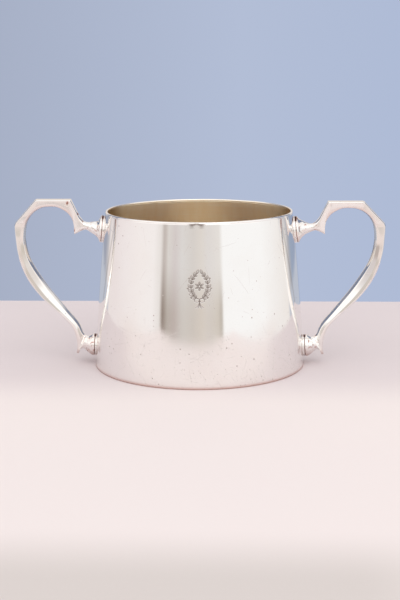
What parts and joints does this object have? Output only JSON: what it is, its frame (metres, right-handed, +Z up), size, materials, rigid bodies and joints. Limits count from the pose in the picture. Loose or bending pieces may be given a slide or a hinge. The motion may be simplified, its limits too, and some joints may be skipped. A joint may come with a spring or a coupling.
{
  "type": "sugar bowl",
  "caption": "Tapered polished silver-plate sugar bowl with a wired mouth, a let-in base and cast loop handles joined to small collars on the wall.",
  "frame": {"origin": "middle of the resting plane, on the bowl's axis", "axes": "+Z up along the bowl's axis, +X towards the right-hand handle, -Y towards the engraved front"},
  "size_m": [0.1542, 0.088, 0.0694],
  "materials": {
    "wall": "polished silver plate, bright, with fine scratches, small pits and faint warm tarnish; a small engraved wreath on the front",
    "base": "satin spun silver plate, yellowed inside the bowl",
    "wire": "polished silver plate, rounded wire, rubbed bright",
    "handle": "polished cast silver plate, soft edges, tarnish in the corners",
    "collar": "polished cast silver plate with a dark joint line"
  },
  "bodies": {
    "root": {"body_wall": "wall", "base_plate": "base", "rim_wire": "wire", "left_handle": "handle", "right_handle": "handle", "left_upper_socket": "collar", "left_lower_socket": "collar", "right_upper_socket": "collar", "right_lower_socket": "collar"}
  },
  "joints": []
}
